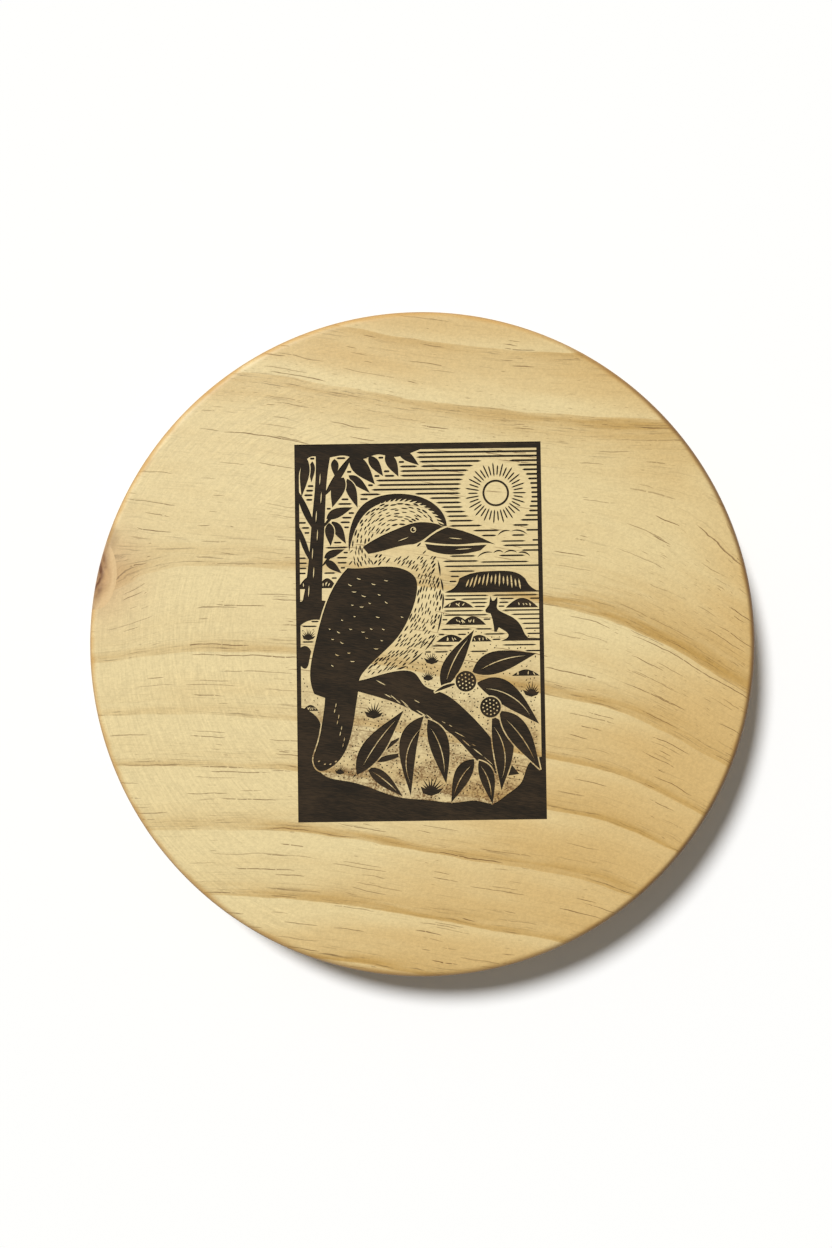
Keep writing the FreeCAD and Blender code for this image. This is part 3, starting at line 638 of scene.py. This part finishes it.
def pine_paint(tree, place):
    field = use(tree, grain_field, {"Position": place})
    x, y, z = millimetres(tree, place)
    along = field["Along"]
    run, level, deep = split(tree, along)
    turn = calc(tree, "FRACT", field["Rings"])
    number = calc(tree, "FLOOR", field["Rings"])
    luck = put(tree, "TexWhiteNoise", {"W": number}, noise_dimensions="1D").outputs[0]
    patches = lumps(tree, (run, level, deep), (45.0, 9.0, 20.0), 3.0)
    uneven = lumps(tree, (run, level, deep), (30.0, 3.0, 8.0))
    streak = lumps(tree, (run, level, deep), (16.0, 0.5, 1.2), 3.0, 0.65)
    fibre = lumps(tree, (run, level, deep), (4.0, 0.22, 0.4), 3.0, 0.6)
    speckle = between(tree, lumps(tree, (x, y, z), (0.8, 0.65, 0.8), 3.0, 0.75), 0.3, 0.7)

    lines = graph(tree, turn, late_curve, 1)
    to_right = between(tree, minus(tree, x, times(tree, y, 0.7)), -75.0, 45.0)
    late = times(tree, lines, from_to(tree, 0.45, to_right, 0.5), from_to(tree, 0.65, luck, 0.35))
    late = times(tree, late, from_to(tree, 0.4, between(tree, uneven, 0.3, 0.66), 0.8))
    blush = calc(tree, "POWER", field["Knot Reach"], 1.6)
    colour = fade(tree, warmth_and_shade(tree, x, y, turn, patches), straw, honey_and_shade)
    colour = fade(tree, times(tree, late, 0.85), colour, late_amber)
    colour = fade(tree, times(tree, blush, 0.6), colour, knot_blush)

    streak = times(tree, between(tree, streak, 0.54, 0.72), add(tree, 0.16, lines))
    colour = fade(tree, times(tree, streak, 0.7), colour, scorch)
    shade = add(tree, 0.84, times(tree, fibre, 0.16), times(tree, speckle, 0.15))
    colour = shaded(tree, colour, shade)
    dash = all_dashes(tree, along, x, y, level)
    colour = fade(tree, times(tree, dash, 0.85), colour, resin_brown)
    scratch = use(tree, sanding_marks, {"Position": place})["Scratch"]
    colour = shaded(tree, colour, from_to(tree, 1.0, scratch, 0.11))

    out, amber, smudge, brown = rim_tones_and_shade(tree, x, y, z, patches, uneven)
    # The brown of the rim's edge is painted shade on the right and partly painted shade all round. The amber
    # and the smudge are the wood's own.
    for share, tone in ((amber, rim_amber), (smudge, rim_brown_and_shade), (brown, rim_brown_and_shade)):
        colour = fade(tree, share, colour, tone)
    colour = fade(tree, soot_on_wood(tree, x, y), colour, soot_brown)
    in_cut = times(tree, between(tree, z, face_at - 0.01, face_at - 0.12), calc(tree, "LESS_THAN", out, 75.0))
    colour = fade(tree, in_cut, colour, scorch)

    height = add(tree, times(tree, fibre, 0.35), times(tree, speckle, 0.3), times(tree, scratch, 0.25))
    height = minus(tree, height, times(tree, dash, 0.7))
    rough = from_to(tree, 0.42, add(tree, fibre, dash), 0.16)
    return colour, rough, height


pine = surface("oiled_pine", pine_paint, 0.35)
print("pine:", len(pine.node_tree.nodes), "nodes")

# %% [markdown]
# ## Knot wood
# The knot is a branch cut across, so it shows small rings of its own, crowded and redder than the
# board. They are drawn by a sine of the distance from the knot's middle, shaken by a noise. The
# outer part fades to the board's colour, because a live knot melts into the wood around it, and
# the rim side is darkest, where end grain took up the oil.

# %% Knot
knot_pale, knot_red, knot_dark = srgb(216, 184, 134), srgb(196, 156, 108), srgb(104, 66, 38)


def knot_paint(tree, place):
    x, y, z = millimetres(tree, place)
    reach = distance(tree, calc(tree, "DIVIDE", minus(tree, x, knot_x / MM), knot_half_width / MM),
                     calc(tree, "DIVIDE", minus(tree, y, knot_y / MM), knot_half_length / MM))
    shaky = lumps(tree, (x, y, z), (5.0, 7.0, 12.0), 3.0)
    fine = lumps(tree, (x, y, z), (0.5, 0.7, 2.0), 3.0)
    rings = calc(tree, "SINE", times(tree, from_to(tree, reach, shaky, 0.7), 21.0))
    heart = between(tree, reach, 0.85, 0.2)
    on_face = between(tree, z, face_at - 4.0, face_at - 0.5)
    out = from_to(tree, distance(tree, x, y), shaky, 4.0)
    edge = times(tree, between(tree, out, edge_at - 1.5, edge_at + 1.2), from_to(tree, 0.15, on_face, 0.45))
    dark = add(tree, times(tree, from_to(tree, 0.26, rings, 0.26), heart), edge)
    colour = fade(tree, between(tree, reach, 0.98, 0.4), knot_pale, knot_red)
    colour = fade(tree, dark, colour, knot_dark)
    colour = shaded(tree, colour, from_to(tree, 0.88, fine, 0.24))
    return colour, from_to(tree, 0.4, fine, 0.15), from_to(tree, fine, rings, 0.3)


knot_wood = surface("knot_wood", knot_paint, 0.35)
print("knot wood:", len(knot_wood.node_tree.nodes), "nodes")

# %% [markdown]
# ## Char
# The laser sweeps to and fro in lines 0.16 mm apart and leaves a matt black-brown floor. The hard
# late fibres burn less than the soft ones, so brown streaks along the grain show through. The char
# therefore asks the same grain field as the pine, and its streaks run on from the wood beside it.

# %% Char
char_black, char_brown = srgb(33, 27, 18), srgb(60, 47, 32)
sweep = 0.16


def char_paint(tree, place):
    x, y, z = millimetres(tree, place)
    level = split(tree, use(tree, grain_field, {"Position": place})["Along"])[1]
    fibre = lumps(tree, (x, level, z), (2.6, 0.22, None), 3.0, 0.6)
    patch = lumps(tree, (x, level, z), (14.0, 5.0, None), 3.0)
    lines = calc(tree, "SINE", times(tree, y, 2 * math.pi / sweep))
    brown = between(tree, from_to(tree, fibre, patch, 0.6), 0.62, 1.05)
    colour = fade(tree, brown, char_black, char_brown)
    return colour, from_to(tree, 0.7, fibre, 0.2), from_to(tree, fibre, lines, 0.25)


char = surface("burnt_wood", char_paint, 0.2)
print("char:", len(char.node_tree.nodes), "nodes")

# %% [markdown]
# ## Dressing the pieces
# The new board and knot stand for their CAD twins, which are hidden. Each skin of char is shown as
# it is, since a laser leaves exactly that: the floor of the cut, burnt.

# %% Dress the pieces
for piece, node, finish, slot in ((board, "board", pine, "pine"), (knot, "edge_knot", knot_wood, "knot")):
    piece.data.materials.clear()
    piece.data.materials.append(finish)
    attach(piece, "root")
    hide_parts(node)
skins = [piece for name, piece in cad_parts.items() if name.startswith("char_")]
for skin in skins:
    skin.data.materials.clear()
    skin.data.materials.append(char)
print("dressed the board, the knot and", len(skins), "skins of char")

# %% [markdown]
# ## Last measure
# The finished board should fill the same box as the CAD frame, so the two sizes are printed side by
# side.

# %% Print the sizes before and after
new_low, new_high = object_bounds()
for label, extent in (("before", cad_high - cad_low), ("after", new_high - new_low)):
    print("size", label, [round(v / MM, 2) for v in extent])
